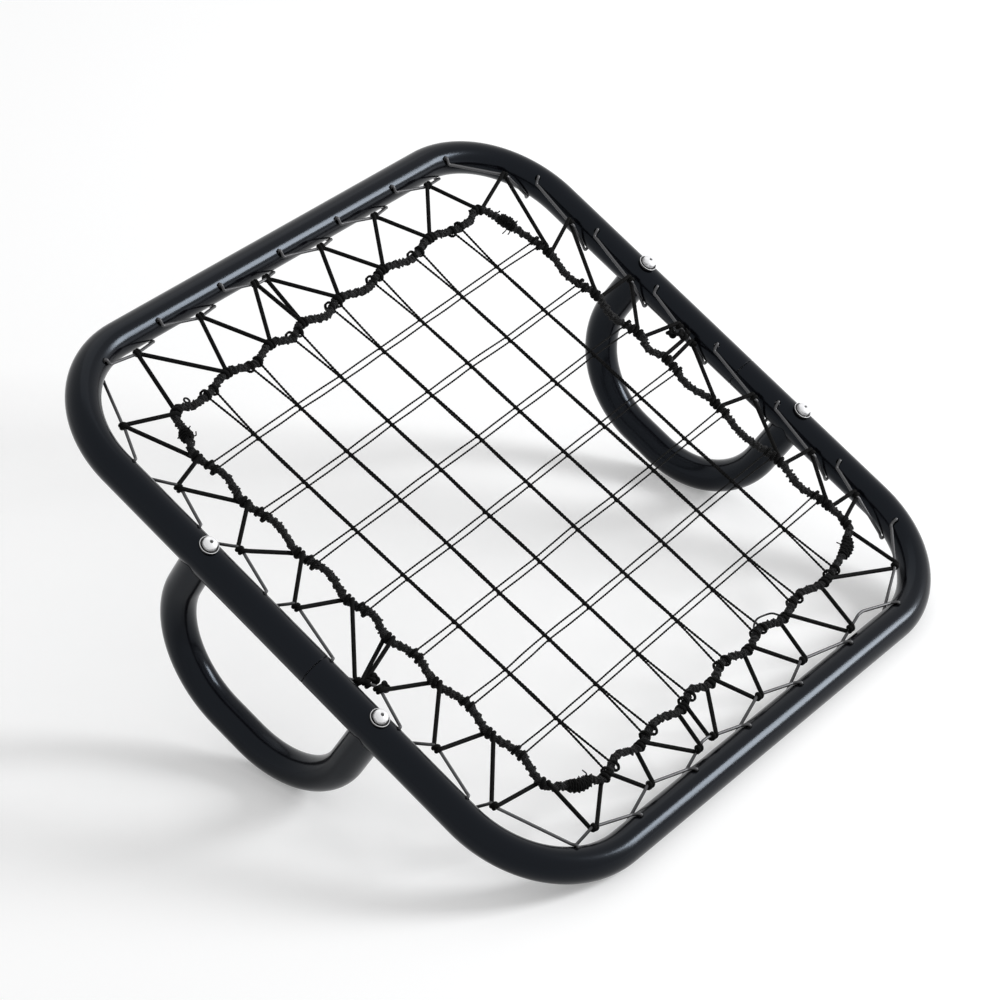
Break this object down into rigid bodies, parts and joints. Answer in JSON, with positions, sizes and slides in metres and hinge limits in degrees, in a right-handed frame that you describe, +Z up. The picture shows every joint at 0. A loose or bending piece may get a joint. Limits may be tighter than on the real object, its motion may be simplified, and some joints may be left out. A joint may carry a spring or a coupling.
{
  "type": "soccer rebounder",
  "caption": "Square tube frame on two U-shaped legs with a net laced in by elastic cord; leans back so that a ball rebounds from the net.",
  "frame": {"origin": "on the ground, under the middle of the object's box", "axes": "+X to the right seen from the bottom rail, +Y from the bottom rail to the raised top rail, +Z up; the net faces up and towards -Y"},
  "size_m": [0.63, 0.5674, 0.2964],
  "materials": {
    "frame_paint": "gloss black powder coat",
    "inner_steel": "plain steel",
    "zinc": "bright zinc plate",
    "coated_wire": "dull zinc-coated wire",
    "elastic_cord": "woven sleeve over elastic",
    "rope": "twisted cord",
    "twine": "polyester twine"
  },
  "bodies": {
    "root": {"frame_upper_u": "frame_paint", "frame_lower_u": "frame_paint", "joint_sleeve_left": "inner_steel", "joint_sleeve_right": "inner_steel", "leg_left": "frame_paint", "leg_right": "frame_paint", "leg_bolt_left_lower": "zinc", "leg_bolt_left_upper": "zinc", "leg_bolt_right_lower": "zinc", "leg_bolt_right_upper": "zinc", "cup_washer_left_lower": "zinc", "cup_washer_left_upper": "zinc", "cup_washer_right_lower": "zinc", "cup_washer_right_upper": "zinc", "leg_plug_left_lower": "inner_steel", "leg_plug_left_upper": "inner_steel", "leg_plug_right_lower": "inner_steel", "leg_plug_right_upper": "inner_steel", "anchor_wire": "coated_wire", "lacing_upper": "elastic_cord", "lacing_lower": "elastic_cord", "lacing_knot_upper_start": "elastic_cord", "lacing_knot_upper_end": "elastic_cord", "lacing_knot_lower_start": "elastic_cord", "lacing_knot_lower_end": "elastic_cord", "border_rope": "rope", "corner_lashing_top_right": "twine", "corner_lashing_bottom_right": "twine", "corner_lashing_bottom_left": "twine", "corner_lashing_top_left": "twine", "net": "twine"}
  },
  "joints": []
}
